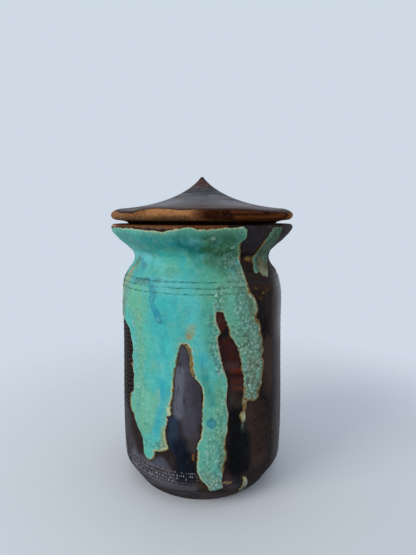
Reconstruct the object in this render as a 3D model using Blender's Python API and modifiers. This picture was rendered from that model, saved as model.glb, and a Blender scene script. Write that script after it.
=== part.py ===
"""Lidded stoneware jar: a thrown body with a necked, flared mouth, and a pointed lid that drops into it.

Run it with: blender --background --python part.py, or from Blender's text editor.
Metres, +Z up. The origin is the middle of the foot, on the surface that the jar stands on.
Both pieces are turned about Z. Angles round the jar count from its front, which faces -Y, towards +X.
"""

import math

import bpy

# Foot of the body
FOOT_DIAMETER = 0.0840
FOOT_BEVEL_HEIGHT = 0.0128
FOOT_RING_WIDTH = 0.0075
FOOT_RECESS_DEPTH = 0.0015
FOOT_EDGE_ROUND = 0.0007

# Wall of the body: the corner above the bevelled foot, the wall and the shoulder's start
CORNER_DIAMETER = 0.1006
CORNER_ROUND = 0.0010
WALL_HEIGHT = 0.0970
WALL_SWELL = 0.0017
WALL_WAIST = 0.0006
SHOULDER_DIAMETER = 0.0995

# Shoulder, neck and flared mouth
SHOULDER_HEIGHT = 0.0286
NECK_DIAMETER = 0.0829
FLARE_HEIGHT = 0.0194
RIM_DIAMETER = 0.1106
LIP_THICKNESS = 0.0038

# Clay inside the body
WALL_THICKNESS = 0.0044
FLOOR_THICKNESS = 0.0060
INNER_CORNER_RADIUS = 0.0100

# Three lines cut round the shoulder with a pointed tool
GROOVE_COUNT = 3
GROOVE_DROP = 0.0104
GROOVE_SPACING = 0.0031
GROOVE_WIDTH = 0.0014
GROOVE_DEPTH = 0.0005

# Thick glaze that ran down from the mouth
GLAZE_THICKNESS = 0.0008
GLAZE_EDGE_WIDTH = 0.0030

# Lid: its rim lies over the lip, and its flange seats in the flare
LID_GAP = 0.0022
LID_RIM_THICKNESS = 0.0067
LID_RIM_ROUND = 0.0052
LID_RISE = 0.0195
LID_THICKNESS = 0.0056
TIP_ROUND = 0.0010
TIP_DEPTH = 0.0125
FLANGE_THICKNESS = 0.0050
FLANGE_TAPER = 0.0010
FLANGE_ROUND = 0.0010
FLANGE_FILLET = 0.0040
UNDERSIDE_SLOPE = 0.0010
SEAT_CLEARANCE = 0.0003

# Shapes of the curves, as shares of the sizes that they span
WALL_HANDLE_SHARES = (0.33, 0.68)
SHOULDER_FULLNESS_SHARE = 0.835
NECK_TURN_SHARE = 0.285
FLARE_TURN_SHARES = (0.34, 0.415, 0.47)
LIP_SLOPE_SHARE = 0.65
SEAT_SHARES = (0.40, 0.52)
LID_SWEEP_SHARES = ((0.42, 0.11), (0.12, 0.63))
LID_DOME_SHARES = ((0.67, 0.27), (0.30, 0.80))
ROUND_SHARE = 0.5

# Lower edge of the run glaze: shares of a full turn from the front, and of the jar's height without its lid
GLAZE_EDGE_SHARES = (
    (-0.250, 0.71), (-0.210, 0.66), (-0.158, 0.62), (-0.148, 0.38), (-0.138, 0.29),
    (-0.117, 0.23), (-0.100, 0.16), (-0.084, 0.17), (-0.062, 0.24), (-0.052, 0.35),
    (-0.044, 0.53), (-0.033, 0.60), (-0.015, 0.59), (-0.010, 0.50), (-0.002, 0.16),
    (0.008, 0.07), (0.030, 0.07), (0.037, 0.12), (0.041, 0.50), (0.044, 0.70),
    (0.055, 0.60), (0.066, 0.54), (0.071, 0.38), (0.076, 0.28), (0.084, 0.34),
    (0.102, 0.38), (0.117, 0.44), (0.122, 0.60), (0.128, 0.82), (0.160, 0.83),
    (0.190, 0.87), (0.215, 0.96), (0.262, 0.96), (0.290, 0.84), (0.320, 0.58),
    (0.345, 0.40), (0.368, 0.34), (0.392, 0.42), (0.410, 0.60), (0.430, 0.63),
    (0.452, 0.44), (0.470, 0.22), (0.492, 0.15), (0.516, 0.19), (0.538, 0.40),
    (0.556, 0.62), (0.580, 0.66), (0.604, 0.48), (0.624, 0.31), (0.646, 0.29),
    (0.668, 0.44), (0.700, 0.62), (0.750, 0.71),
)

# Finishes: base colour, roughness and weight of the clear coat
IRON_GLAZE = ((0.040, 0.027, 0.026), 0.35, 0.3)
TURQUOISE_GLAZE = ((0.110, 0.330, 0.330), 0.2, 0.6)
LID_GLAZE = ((0.085, 0.065, 0.058), 0.42, 0.2)

# Fineness of the turned surfaces
SEGMENTS = 72
LIP_STEPS = 4
FLARE_STEPS = 6
SHOULDER_STEPS = 8
WALL_STEPS = 22
INNER_WALL_STEPS = 2
INNER_SHOULDER_STEPS = 5
ROUND_STEPS = 3
CORNER_STEPS = 2
SWEEP_STEPS = 9
DOME_STEPS = 5
SHARP_ANGLE = math.radians(40)
MERGE_DISTANCE = 0.00001
HALVINGS = 40

foot_radius = FOOT_DIAMETER / 2
corner_radius = CORNER_DIAMETER / 2
shoulder_radius = SHOULDER_DIAMETER / 2
neck_radius = NECK_DIAMETER / 2
rim_radius = RIM_DIAMETER / 2
shoulder_z = FOOT_BEVEL_HEIGHT + WALL_HEIGHT
neck_z = shoulder_z + SHOULDER_HEIGHT
lip_z = neck_z + FLARE_HEIGHT


def between(low, high, share):
    return low + (high - low) * share


def cubic(curve, t):
    """Point at t, from 0 to 1, of a cubic curve given by its ends and their handles."""
    start, first, second, end = curve
    weights = ((1 - t) ** 3, 3 * t * (1 - t) ** 2, 3 * t * t * (1 - t), t ** 3)
    return tuple(
        sum(weight * point[axis] for weight, point in zip(weights, (start, first, second, end)))
        for axis in (0, 1)
    )


def normal(curve, t):
    """Unit normal of the curve at t, to the right of the way it runs."""
    start, first, second, end = curve
    weights = ((1 - t) ** 2, 2 * t * (1 - t), t * t)
    steps = ((start, first), (first, second), (second, end))
    dr, dz = (
        sum(weight * (after[axis] - before[axis]) for weight, (before, after) in zip(weights, steps))
        for axis in (0, 1)
    )
    length = math.hypot(dr, dz)
    return dz / length, -dr / length


def offset_point(curve, t, distance):
    """Point at t, moved by distance to the right of the way the curve runs."""
    r, z = cubic(curve, t)
    nr, nz = normal(curve, t)
    return r + nr * distance, z + nz * distance


def stretch(curve, steps):
    """Points along a curve, without its first."""
    return [cubic(curve, step / steps) for step in range(1, steps + 1)]


def rounded(start, corner, end, steps):
    """Points of a rounded corner, without its first: a curve from start to end, drawn towards corner."""
    first = tuple(between(a, b, ROUND_SHARE) for a, b in zip(start, corner))
    second = tuple(between(a, b, ROUND_SHARE) for a, b in zip(end, corner))
    return stretch((start, first, second, end), steps)


def find(curve, axis, value):
    """Where a curve that keeps rising has the value as its radius (axis 0) or its height (axis 1)."""
    low, high = 0.0, 1.0
    for _ in range(HALVINGS):
        middle = (low + high) / 2
        if cubic(curve, middle)[axis] < value:
            low = middle
        else:
            high = middle
    return (low + high) / 2


# The body's outer curves, each running upwards
wall_curve = (
    (corner_radius, FOOT_BEVEL_HEIGHT + CORNER_ROUND),
    (corner_radius + WALL_SWELL, FOOT_BEVEL_HEIGHT + WALL_HEIGHT * WALL_HANDLE_SHARES[0]),
    (shoulder_radius - WALL_WAIST, FOOT_BEVEL_HEIGHT + WALL_HEIGHT * WALL_HANDLE_SHARES[1]),
    (shoulder_radius, shoulder_z),
)
shoulder_curve = (
    (shoulder_radius, shoulder_z),
    (shoulder_radius, shoulder_z + SHOULDER_HEIGHT * SHOULDER_FULLNESS_SHARE),
    (neck_radius, neck_z - SHOULDER_HEIGHT * NECK_TURN_SHARE),
    (neck_radius, neck_z),
)

# The lip is a half round at the end of the flare. Its slope sets where the flare's outer side ends.
lip_radius = LIP_THICKNESS / 2
lip_slope = math.atan(LIP_SLOPE_SHARE)
lip_centre = (rim_radius - lip_radius, lip_z - lip_radius)
flare_end = (
    lip_centre[0] + lip_radius * math.cos(lip_slope),
    lip_centre[1] - lip_radius * math.sin(lip_slope),
)
flare_rise = flare_end[1] - neck_z
flare_spread = flare_end[0] - neck_radius
flare_curve = (
    (neck_radius, neck_z),
    (neck_radius, neck_z + flare_rise * FLARE_TURN_SHARES[0]),
    (flare_end[0] - flare_spread * FLARE_TURN_SHARES[1], neck_z + flare_rise * FLARE_TURN_SHARES[2]),
    flare_end,
)


def clay_at_flare(t):
    """Thickness of the flare's wall at t: it thins from the neck's to the lip's."""
    return between(WALL_THICKNESS, LIP_THICKNESS, t)


def flare_inside(t):
    return offset_point(flare_curve, t, -clay_at_flare(t))


def lip_points():
    """The lip's half round, from its inner side over the top to its outer side."""
    points = []
    for step in range(LIP_STEPS + 1):
        angle = math.pi - lip_slope - math.pi * step / LIP_STEPS
        points.append((
            lip_centre[0] + lip_radius * math.cos(angle),
            lip_centre[1] + lip_radius * math.sin(angle),
        ))
    return points


def grooved_shoulder():
    """The shoulder's outer side, upwards, with its cut lines."""
    heights = [neck_z - GROOVE_DROP - GROOVE_SPACING * line for line in range(GROOVE_COUNT)]
    cuts = []
    for height in heights:
        middle = find(shoulder_curve, 1, height)
        low = find(shoulder_curve, 1, height - GROOVE_WIDTH / 2)
        high = find(shoulder_curve, 1, height + GROOVE_WIDTH / 2)
        cuts += [(low, 0), (middle, GROOVE_DEPTH), (high, 0)]
    smooth = []
    for step in range(1, SHOULDER_STEPS + 1):
        t = step / SHOULDER_STEPS
        z = cubic(shoulder_curve, t)[1]
        if all(abs(z - height) > GROOVE_WIDTH for height in heights):
            smooth.append((t, 0))
    return [offset_point(shoulder_curve, t, -depth) for t, depth in sorted(smooth + cuts)]


def body_profile():
    """The body's section, from the middle of the floor up the inside, over the lip and down to the foot."""
    floor_z = FOOT_RECESS_DEPTH + FLOOR_THICKNESS
    low = find(wall_curve, 1, floor_z + INNER_CORNER_RADIUS)
    inner_wall_foot = offset_point(wall_curve, low, -WALL_THICKNESS)
    floor_edge = (inner_wall_foot[0] - INNER_CORNER_RADIUS, floor_z)
    points = [(0, floor_z), floor_edge]
    points += rounded(floor_edge, (inner_wall_foot[0], floor_z), inner_wall_foot, ROUND_STEPS)
    for step in range(1, INNER_WALL_STEPS + 1):
        points.append(offset_point(wall_curve, between(low, 1, step / INNER_WALL_STEPS), -WALL_THICKNESS))
    for step in range(1, INNER_SHOULDER_STEPS + 1):
        points.append(offset_point(shoulder_curve, step / INNER_SHOULDER_STEPS, -WALL_THICKNESS))
    for step in range(1, FLARE_STEPS):
        points.append(flare_inside(step / FLARE_STEPS))
    points += lip_points()

    outside = [flare_curve[0]] + stretch(flare_curve, FLARE_STEPS)
    points += outside[-2:0:-1]
    points += grooved_shoulder()[::-1]
    wall = [wall_curve[0]] + stretch(wall_curve, WALL_STEPS)
    points += wall[::-1]

    bevel_slope = (corner_radius - foot_radius) / FOOT_BEVEL_HEIGHT
    below_corner = (corner_radius - CORNER_ROUND * bevel_slope, FOOT_BEVEL_HEIGHT - CORNER_ROUND)
    above_foot = (foot_radius + FOOT_EDGE_ROUND * bevel_slope, FOOT_EDGE_ROUND)
    ring_inside = foot_radius - FOOT_RING_WIDTH
    points += rounded(wall[0], (corner_radius, FOOT_BEVEL_HEIGHT), below_corner, CORNER_STEPS)
    points += [tuple(between(a, b, ROUND_SHARE) for a, b in zip(below_corner, above_foot))]
    points += [above_foot, (foot_radius - FOOT_EDGE_ROUND, 0)]
    points += [(ring_inside, 0), (ring_inside - FOOT_RECESS_DEPTH, FOOT_RECESS_DEPTH)]
    points += [(0, FOOT_RECESS_DEPTH)]
    return points


def seat_point(share):
    """Point above the flare's inner side, kept off it by the seat's clearance."""
    return offset_point(flare_curve, share, -clay_at_flare(share) - SEAT_CLEARANCE)


def lid_profile(base):
    """The lid's section in heights above base: from the tip down its top, round its rim and up the hollow."""
    rim_foot = lip_z + LID_GAP
    rim_top = rim_foot + LID_RIM_THICKNESS
    rim_middle = between(rim_foot, rim_top, ROUND_SHARE)
    tip_z = rim_top + LID_RISE
    top_edge = (rim_radius - LID_RIM_ROUND, rim_top)
    below_tip = (TIP_ROUND, tip_z - TIP_ROUND / 2)
    rise = below_tip[1] - rim_top
    sweep = (
        top_edge,
        (top_edge[0] * LID_SWEEP_SHARES[0][0], rim_top + rise * LID_SWEEP_SHARES[0][1]),
        (top_edge[0] * LID_SWEEP_SHARES[1][0], rim_top + rise * LID_SWEEP_SHARES[1][1]),
        below_tip,
    )
    points = [(0, tip_z)] + ([top_edge] + stretch(sweep, SWEEP_STEPS))[::-1]

    # Rounded rim, and the underside that slopes in to the flange
    widest = (rim_radius, rim_middle)
    under_edge = (rim_radius - LID_RIM_ROUND * ROUND_SHARE, rim_foot)
    points += rounded(top_edge, (rim_radius, rim_top), widest, ROUND_STEPS)
    points += rounded(widest, (rim_radius, rim_foot), under_edge, ROUND_STEPS)
    seat = [seat_point(share) for share in SEAT_SHARES]
    flange_top = seat[1][0] + FLANGE_TAPER
    flange_inside = seat[1][0] - FLANGE_THICKNESS
    root_z = rim_foot - UNDERSIDE_SLOPE
    root = (flange_top + FLANGE_ROUND, root_z)
    points += [root, (flange_top, root_z - FLANGE_ROUND)]

    # The flange's foot is bevelled to lie along the flare
    flange_foot = seat[0][1] - FLANGE_ROUND / 2
    points += [seat[1], seat[0]]
    points += [(seat[0][0] - FLANGE_ROUND, flange_foot), (flange_inside + FLANGE_ROUND, flange_foot)]
    points += [(flange_inside, flange_foot + FLANGE_ROUND)]

    # The hollow: a rounded corner at the flange, and a dome under the pointed top
    dome_edge = flange_inside - FLANGE_FILLET
    t = 1 - find(tuple(reversed(sweep)), 0, dome_edge)
    dome_start = (dome_edge, cubic(sweep, t)[1] - LID_THICKNESS)
    corner = (flange_inside, dome_start[1] - FLANGE_FILLET)
    points += [corner] + rounded(corner, (flange_inside, dome_start[1]), dome_start, CORNER_STEPS)
    dome_top = tip_z - TIP_DEPTH
    dome_rise = dome_top - dome_start[1]
    dome = (
        dome_start,
        (dome_edge * LID_DOME_SHARES[0][0], dome_start[1] + dome_rise * LID_DOME_SHARES[0][1]),
        (dome_edge * LID_DOME_SHARES[1][0], dome_start[1] + dome_rise * LID_DOME_SHARES[1][1]),
        (0, dome_top),
    )
    points += stretch(dome, DOME_STEPS)
    return [(r, z - base) for r, z in points]


def glaze_edge(turn):
    """Height of the run glaze's lower edge at a share of a full turn from the front."""
    first = GLAZE_EDGE_SHARES[0][0]
    turn = (turn - first) % 1 + first
    stretches = zip(GLAZE_EDGE_SHARES, GLAZE_EDGE_SHARES[1:])
    (start, low), (end, high) = next(ends for ends in stretches if turn <= ends[1][0])
    return lip_z * between(low, high, (turn - start) / (end - start))


def glaze_cover(point):
    """How much of its full thickness the glaze has there, from 0 to 1."""
    turn = math.atan2(point.x, -point.y) / math.tau
    above_edge = (point.z - glaze_edge(turn)) / GLAZE_EDGE_WIDTH
    below_lip = (flare_end[1] - point.z) / GLAZE_EDGE_WIDTH
    cover = min(max(min(above_edge, below_lip), 0), 1)
    return cover * cover * (3 - 2 * cover)


def turned(name, profile, collection):
    """An object made of a section that a Screw modifier turns about Z."""
    mesh = bpy.data.meshes.new(name)
    edges = [(i, i + 1) for i in range(len(profile) - 1)]
    mesh.from_pydata([(r, 0, z) for r, z in profile], edges, [])
    piece = bpy.data.objects.new(name, mesh)
    collection.objects.link(piece)
    screw = piece.modifiers.new("Turn", "SCREW")
    screw.steps = SEGMENTS
    screw.render_steps = SEGMENTS
    screw.use_merge_vertices = True
    screw.merge_threshold = MERGE_DISTANCE
    bpy.context.view_layer.update()
    graph = bpy.context.evaluated_depsgraph_get()
    surface = bpy.data.meshes.new_from_object(piece.evaluated_get(graph))
    piece.modifiers.clear()
    piece.data = surface
    surface.name = name
    bpy.data.meshes.remove(mesh)
    surface.shade_smooth()
    surface.set_sharp_from_angle(angle=SHARP_ANGLE)
    return piece


def glaze_finish(name, finish):
    """A fired glaze."""
    color, roughness, coat = finish
    material = bpy.data.materials.new(name)
    material.use_nodes = True
    shader = material.node_tree.nodes["Principled BSDF"]
    shader.inputs["Base Color"].default_value = (*color, 1)
    shader.inputs["Roughness"].default_value = roughness
    shader.inputs["Metallic"].default_value = 0
    shader.inputs["Coat Weight"].default_value = coat
    material.diffuse_color = (*color, 1)
    return material


def make_body(collection):
    """The jar: turned, then the run glaze is raised on its outside."""
    body = turned("jar_body", body_profile(), collection)
    body.data.materials.append(glaze_finish("iron_glaze", IRON_GLAZE))
    body.data.materials.append(glaze_finish("turquoise_glaze", TURQUOISE_GLAZE))
    points = body.data.vertices
    outside = [point for point in points if point.normal.xy.dot(point.co.xy) > 0]
    covers = {point.index: glaze_cover(point.co) for point in outside}
    raised = {point.index: point.normal * GLAZE_THICKNESS for point in outside}
    for index, cover in covers.items():
        points[index].co += raised[index] * cover
    for face in body.data.polygons:
        covered = [index for index in face.vertices if covers.get(index, 0) > 0]
        face.material_index = int(len(covered) == len(face.vertices))
    return body


def make_lid(collection):
    """The lid, with its origin on the axis that it lifts along, level with its rim's underside."""
    base = lip_z + LID_GAP
    lid = turned("lid", lid_profile(base), collection)
    lid.location = (0, 0, base)
    lid.data.materials.append(glaze_finish("lid_glaze", LID_GLAZE))
    return lid


for old in list(bpy.data.objects):
    bpy.data.objects.remove(old, do_unlink=True)
jar = bpy.data.collections.new("lidded_jar")
bpy.context.scene.collection.children.link(jar)
make_body(jar)
make_lid(jar)
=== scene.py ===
"""Looks of a lidded stoneware jar: a thrown iron-brown body, a turquoise glaze run over it, and a lid."""

import math

import bmesh
import bpy
import numpy as np
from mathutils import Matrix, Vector, noise
from mathutils.bvhtree import BVHTree


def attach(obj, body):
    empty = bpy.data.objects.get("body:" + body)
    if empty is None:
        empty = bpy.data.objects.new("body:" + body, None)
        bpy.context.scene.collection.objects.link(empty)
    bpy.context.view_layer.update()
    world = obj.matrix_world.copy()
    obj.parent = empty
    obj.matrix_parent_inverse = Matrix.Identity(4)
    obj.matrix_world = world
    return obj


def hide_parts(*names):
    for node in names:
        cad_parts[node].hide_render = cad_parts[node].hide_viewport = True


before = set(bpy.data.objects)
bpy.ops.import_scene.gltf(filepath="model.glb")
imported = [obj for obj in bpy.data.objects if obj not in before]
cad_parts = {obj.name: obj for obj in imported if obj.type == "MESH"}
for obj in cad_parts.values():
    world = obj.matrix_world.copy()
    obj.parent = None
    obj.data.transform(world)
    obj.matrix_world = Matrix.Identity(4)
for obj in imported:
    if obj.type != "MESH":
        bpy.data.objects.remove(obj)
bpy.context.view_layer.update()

# Camera: it stands where the photograph was taken from, level with the gap under the lid and looking a
# little down. The glaze's outlines are given in the photograph's pixels, and this camera's rays lay them
# on the jar.
PHOTO_WIDTH = 416
PHOTO_HEIGHT = 555
FOCAL_PIXELS = 417
SENSOR_MM = 36
CAMERA_PLACE = (0.0036, -0.2620, 0.1623)
CAMERA_TILT = math.radians(81.64)

camera = bpy.data.objects.new("camera", bpy.data.cameras.new("camera"))
camera.location = CAMERA_PLACE
camera.rotation_euler = (CAMERA_TILT, 0, 0)
camera.data.sensor_width = SENSOR_MM
camera.data.lens = SENSOR_MM * FOCAL_PIXELS / PHOTO_HEIGHT
camera.data.clip_start = 0.01
bpy.context.scene.collection.objects.link(camera)
bpy.context.scene.camera = camera
bpy.context.view_layer.update()

# Body: stoneware thrown on a wheel, with a bevelled foot, a straight wall, a round shoulder, a neck and a
# flared mouth. Its section is turned about the axis, as on the wheel. All sizes here are in mm, as
# (distance from the axis, height).
MM = 0.001
FOOT = [(0, 1.5), (20, 1.5), (33, 1.5), (34.5, 0), (41.3, 0), (42.45, 0.7), (43.7, 2.6), (44.9, 4.5),
        (46.1, 6.3), (47.3, 8.1), (48.5, 10.0), (49.65, 11.8), (50.2, 12.8)]
WALL = ((50.3, 13.8), (52.0, 44.8), (49.15, 78.8), (49.75, 109.8))
SHOULDER = ((49.75, 109.8), (49.75, 133.7), (41.45, 130.25), (41.45, 138.4))
FLARE = ((41.45, 138.4), (41.45, 144.0), (49.37, 146.15), (55.0, 154.85))
LIP_MIDDLE = (53.4, 155.9)
LIP_ROUND = 1.9
LIP_START = math.radians(-33)
CLAY_THICKNESS = 4.4
LIP_THICKNESS = 3.8
INNER_FLOOR = [(45.3, 12.4), (43.4, 9.4), (40.2, 7.8), (36.4, 7.5), (20, 7.5), (0, 7.5)]
WALL_ROWS, SHOULDER_ROWS, FLARE_ROWS, LIP_ROWS = 92, 32, 23, 8
INNER_WALL_ROWS, INNER_SHOULDER_ROWS, INNER_FLARE_ROWS = 8, 7, 6
BODY_STEPS = 288


def curved(curve, steps, aside=(0, 0)):
    """Points along a cubic curve, moved to its left by a distance that changes evenly along it."""
    a, b, c, d = (Vector(point) for point in curve)
    points = []
    for step in range(steps + 1):
        t = step / steps
        at = a * (1 - t) ** 3 + b * 3 * t * (1 - t) ** 2 + c * 3 * t * t * (1 - t) + d * t ** 3
        way = ((b - a) * (1 - t) ** 2 + (c - b) * 2 * t * (1 - t) + (d - c) * t * t).normalized()
        points.append(at + Vector((-way.y, way.x)) * (aside[0] + (aside[1] - aside[0]) * t))
    return points


def turned(section, steps):
    """A mesh turned from a section about Z. Its vertices keep how far along the section they lie, in mm."""
    shape = bmesh.new()
    along = shape.verts.layers.float.new("along")
    far = 0
    for number, point in enumerate(section):
        far += (Vector(point) - Vector(section[max(number - 1, 0)])).length
        vertex = shape.verts.new((point[0] * MM, 0, point[1] * MM))
        vertex[along] = far
    shape.verts.ensure_lookup_table()
    for first, second in zip(shape.verts[:-1], shape.verts[1:]):
        shape.edges.new((first, second))
    outline = shape.verts[:] + shape.edges[:]
    bmesh.ops.spin(shape, geom=outline, axis=(0, 0, 1), angle=math.tau, steps=steps, use_merge=True)
    bmesh.ops.remove_doubles(shape, verts=shape.verts, dist=0.001 * MM)
    bmesh.ops.recalc_face_normals(shape, faces=shape.faces)
    return shape


lip = [
    (LIP_MIDDLE[0] + LIP_ROUND * math.cos(LIP_START + math.pi * step / LIP_ROWS),
     LIP_MIDDLE[1] + LIP_ROUND * math.sin(LIP_START + math.pi * step / LIP_ROWS))
    for step in range(1, LIP_ROWS + 1)
]
outside = curved(WALL, WALL_ROWS) + curved(SHOULDER, SHOULDER_ROWS)[1:] + curved(FLARE, FLARE_ROWS)[1:]
inside = (
    curved(FLARE[::-1], INNER_FLARE_ROWS, (-LIP_THICKNESS, -CLAY_THICKNESS))[1:]
    + curved(SHOULDER[::-1], INNER_SHOULDER_ROWS, (-CLAY_THICKNESS, -CLAY_THICKNESS))[1:]
    + curved(WALL[::-1], INNER_WALL_ROWS, (-CLAY_THICKNESS, -CLAY_THICKNESS))[1:-1]
)
body_section = [tuple(point) for point in FOOT + outside + lip + inside + INNER_FLOOR]
body = turned(body_section, BODY_STEPS)

# Where the marks lie: each place on a turned piece is (mm round from the front, mm along its section).
# The way round is measured on the wall. It starts and ends 88 degrees right of the front, where no
# turquoise glaze ran. JAR_COLUMN is the jar's middle in the photograph's pixels.
ROUND_MM = 50.0
SEAM = math.radians(-272)
JAR_COLUMN = 204
PIXEL_STEP = 0.25
GLAZE_TOP = 154.8


def way_round(x, y):
    """Mm round the jar from its front towards +X, for a place given by x and y."""
    return ((np.arctan2(x, -y) - SEAM) % math.tau + SEAM) * ROUND_MM


def to_mark(shape, section):
    """What places marks on a turned piece: a tree for rays, its section and the lengths along it."""
    steps = np.diff(np.array(section), axis=0)
    lengths = np.concatenate([[0], np.cumsum(np.hypot(steps[:, 0], steps[:, 1]))])
    return BVHTree.FromBMesh(shape), np.array(section), lengths


def seen_at(pixels, piece):
    """Places on a turned piece where the photograph shows these pixels, moved in if they miss it."""
    tree, section, lengths = piece
    places = []
    for across, down in pixels:
        hit = None
        while hit is None:
            right, up = (across - PHOTO_WIDTH / 2) / FOCAL_PIXELS, (PHOTO_HEIGHT / 2 - down) / FOCAL_PIXELS
            ray = camera.matrix_world.to_3x3() @ Vector((right, up, -1))
            hit = tree.ray_cast(camera.location, ray)[0]
            across += math.copysign(PIXEL_STEP, JAR_COLUMN - across)
        radius, height = math.hypot(hit.x, hit.y) / MM, hit.z / MM
        nearest = np.argmin(np.hypot(section[:, 0] - radius, section[:, 1] - height))
        step = section[nearest] - section[nearest - 1]
        beyond = (np.array((radius, height)) - section[nearest]) @ step / np.hypot(*step)
        places.append((float(way_round(hit.x, hit.y)), float(lengths[nearest] + beyond)))
    return places


def turned_to(marks, piece):
    """Places given as (degrees round from the front, height in mm) on the outside of a turned piece."""
    section, lengths = piece[1:]
    first, last = np.argmin(section[:, 1]), np.argmax(section[:, 1] >= GLAZE_TOP)
    rise, run = section[first:last, 1], lengths[first:last]
    return [(math.radians(turn) * ROUND_MM, float(np.interp(height, rise, run))) for turn, height in marks]


# Run glaze: a thick turquoise glaze poured over the iron one. In the fire it ran down in fingers that end
# in beads. These are its edges as the photograph shows them: the lower one from left to right, the top
# one back to the left, and then a second patch and a low drip.
LEFT_FINGER = [
    (123.6, 313), (125, 318), (127.6, 323.3), (130.6, 328.8), (131.8, 336), (133, 343.3), (133.6, 350.6),
    (132.7, 356.6), (133.9, 361), (131.5, 363), (133.4, 368), (134.8, 374), (134.2, 381), (134.8, 385),
    (134.2, 390), (131.2, 392.4), (130.6, 397.3), (131, 404), (132.4, 411), (134.8, 414.8), (136.7, 421.5),
    (139, 428), (142, 434), (143.1, 437.5), (143.7, 444.4), (144.3, 451.8), (146, 456.4), (149.4, 459.3),
    (153, 460.4), (154.6, 458.7), (155.8, 454), (154.8, 451.2), (162, 451.8), (167, 451.2), (168.8, 448.2),
    (168.2, 444.5), (166.3, 439.7), (165.7, 430.6), (167.6, 424.5), (168.2, 419.7), (167, 416.4),
    (172.4, 415.4), (171.2, 411.2), (170.6, 406.4), (172.4, 400.3), (173.6, 394), (173.9, 385),
    (174.2, 375), (176.6, 365.7), (178, 356.6), (179.7, 348), (181.5, 344.5),
]
MIDDLE_FINGER = [
    (184.5, 345.5), (187.6, 349), (188.8, 355), (189.2, 363), (190, 370), (192, 376), (196, 380),
    (199.7, 384), (202, 388), (202.7, 395.4), (202, 404), (201.8, 408.8), (202, 416), (201.5, 424.5),
    (202, 428), (200.5, 437.5), (197.7, 443.8), (196.5, 447.2), (197.7, 451.8), (197, 458.7), (196.5, 468),
    (197.7, 474.2), (200, 478.8), (202.8, 482.2), (204.6, 483.4), (207, 486), (208.5, 489.5), (213, 490.3),
    (218, 488.6), (223, 487.4), (222.4, 482.8), (221.8, 478.2), (223.5, 473), (224, 468), (223.5, 464.4),
    (227, 457.6), (226.5, 452), (225.3, 447), (226, 438.5), (227, 433), (228, 428), (227, 424.5),
    (228.3, 417.3), (228, 410), (226.5, 402.7), (227, 397.3), (227, 392), (228, 386), (227, 378),
    (224.7, 371.8), (223, 364.5), (221, 356.6), (219, 347.6), (217.7, 340.3), (218.3, 336.7), (221, 333),
    (219.8, 329.4), (217.4, 324), (216.8, 320.3), (216.2, 314.2), (217.4, 312),
]
RIGHT_FINGER = [
    (221.7, 312.4), (223.5, 314.2), (225.3, 320.3), (227, 324), (228.3, 327.6), (230, 335), (232, 339.7),
    (234.4, 343.3), (237.4, 347.6), (238.6, 353.6), (240.4, 361.5), (241, 369), (243, 375), (243.5, 381),
    (243.5, 388), (243, 393), (242, 396.7), (242, 404), (242.3, 409.4), (240.4, 411.8), (239.2, 415.5),
    (240.4, 419.5), (242, 423), (244, 422), (245.3, 418.8), (245.8, 415), (245, 410),
    (246.5, 407.6), (246.5, 402), (249.5, 400.3), (254.4, 401), (258.6, 396.7), (258.6, 390.6),
    (261.6, 384), (261.6, 377.5), (263, 369), (263.5, 359.7), (261.6, 355.4), (263.5, 349.7),
    (262.3, 344.5), (262.3, 337.3), (261, 333.6), (260.4, 326.4), (258.6, 319), (255.6, 318), (258, 310),
    (256.8, 302), (254, 296), (249.7, 291), (248.5, 285.2), (246, 278.8), (244, 272.4), (240.5, 263.5),
    (240, 256.5), (240.8, 251.4), (240, 247), (240.8, 242.4), (246, 238), (247.2, 234), (247.5, 230),
]
TOP_EDGE = [
    (244.6, 227.1), (240.8, 226.8), (232, 228), (225.5, 227.4), (216, 228.7), (208, 229.3), (196, 229.2),
    (191, 227.1), (184.5, 227.4), (178.5, 228.6), (170.6, 229.8), (162.7, 231.4), (152, 230.4),
    (137, 229.2), (130, 228.3), (121, 227.6), (116, 227.3),
]
SECOND_PATCH = [
    (273.3, 227.4), (269.5, 233.5), (265.7, 238.6), (261.2, 244.3), (257.4, 249.4), (254.2, 254.5),
    (250.4, 259), (252.3, 263.5), (254.2, 272.4), (256, 273.7), (259.3, 272.4), (262, 275.6),
    (265.7, 277.2), (267.6, 276.2), (267.6, 269.8), (267, 259.6), (267.6, 252), (270.8, 247),
    (275.3, 243), (279, 236), (281, 231.6), (282.3, 226.5),
]
LOW_DRIP = [
    (242.5, 476), (246, 476.5), (247.4, 481.7), (245.3, 486.3), (241.3, 489.7), (237.3, 492.6),
    (238.6, 488.5), (241.6, 484), (242.6, 479.5),
]

# The far side isn't in the photograph: the same glaze runs on in four more fingers, as (degrees, height).
BACK_EDGE = [
    (-264, 154.5), (-264, 146), (-259, 134), (-254, 128), (-250, 112), (-246, 92), (-243, 72), (-239, 58),
    (-232, 53), (-226, 57), (-222, 68), (-219, 83), (-215, 96), (-208, 101), (-202, 95), (-198, 74),
    (-194, 48), (-190, 31), (-184, 23), (-177, 22), (-172, 29), (-169, 46), (-166, 68), (-162, 92),
    (-156, 104), (-149, 104), (-145, 92), (-142, 72), (-138, 55), (-132, 46), (-126, 46), (-121, 57),
    (-117, 75), (-112, 92), (-105, 99), (-98, 104), (-90, 112), (-82, 124), (-76, 130.5), (-72.5, 127),
    (-71, 121), (-70.5, 115), (-72.5, 109), (-75, 104.5),
]
BACK_TOP = [(-100, 154.3), (-125, 153.6), (-150, 154.4), (-178, 153.4), (-205, 154.2), (-236, 153.6)]

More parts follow.
